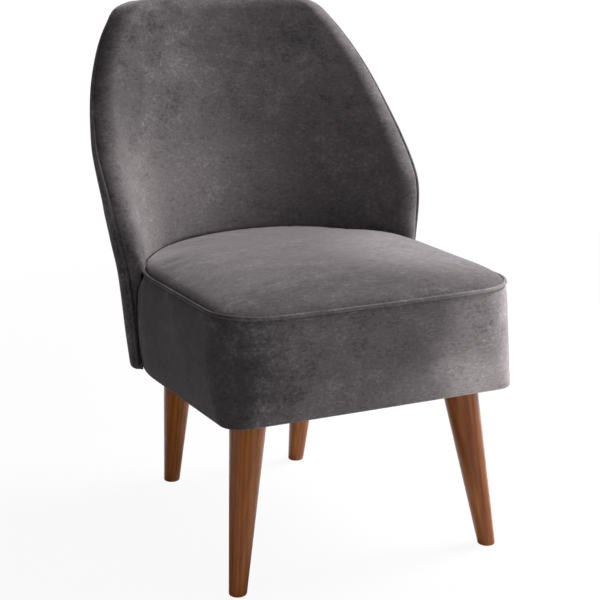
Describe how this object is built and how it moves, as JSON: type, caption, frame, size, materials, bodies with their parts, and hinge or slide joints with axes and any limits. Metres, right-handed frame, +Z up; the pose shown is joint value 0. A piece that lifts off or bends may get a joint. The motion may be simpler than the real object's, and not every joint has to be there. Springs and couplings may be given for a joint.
{
  "type": "upholstered lounge chair",
  "caption": "Low armless lounge chair with a raked wrap-around back, piped edges, a crowned boxed seat in dark velvet and splayed turned wooden legs.",
  "frame": {"origin": "on the floor under the middle of the chair's bounding box", "axes": "+Z up from the floor, +Y to the back of the chair, +X to the right seen from the front"},
  "size_m": [0.5478, 0.6217, 0.7995],
  "materials": {
    "velvet": "brushed velvet pile",
    "leg_wood": "stained, satin lacquer",
    "frame_wood": "planed, raw",
    "plywood": "sanded, raw",
    "foam": "open-cell foam",
    "webbing": "woven elastic strap",
    "hessian": "loose plain weave",
    "dust_cloth": "thin non-woven cloth",
    "zinc_steel": "zinc plated"
  },
  "bodies": {
    "root": {"back_bolts": "zinc_steel", "back_foam": "foam", "back_piping": "velvet", "back_shell": "plywood", "dust_cover": "dust_cloth", "front_left_corner_block": "frame_wood", "front_right_corner_block": "frame_wood", "inside_back_cover": "velvet", "leg_front_left": "leg_wood", "leg_front_right": "leg_wood", "leg_hanger_bolts": "zinc_steel", "leg_prong_nuts": "zinc_steel", "leg_rear_left": "leg_wood", "leg_rear_right": "leg_wood", "outside_back_cover": "velvet", "rear_left_leg_block": "frame_wood", "rear_right_leg_block": "frame_wood", "seat_boxing_cover": "velvet", "seat_foam": "foam", "seat_front_rail": "frame_wood", "seat_left_rail": "frame_wood", "seat_piping": "velvet", "seat_rail_padding": "foam", "seat_rear_rail": "frame_wood", "seat_right_rail": "frame_wood", "seat_top_cover": "velvet", "seat_webbing_cross": "webbing", "seat_webbing_long": "webbing", "webbing_hessian": "hessian"}
  },
  "joints": []
}
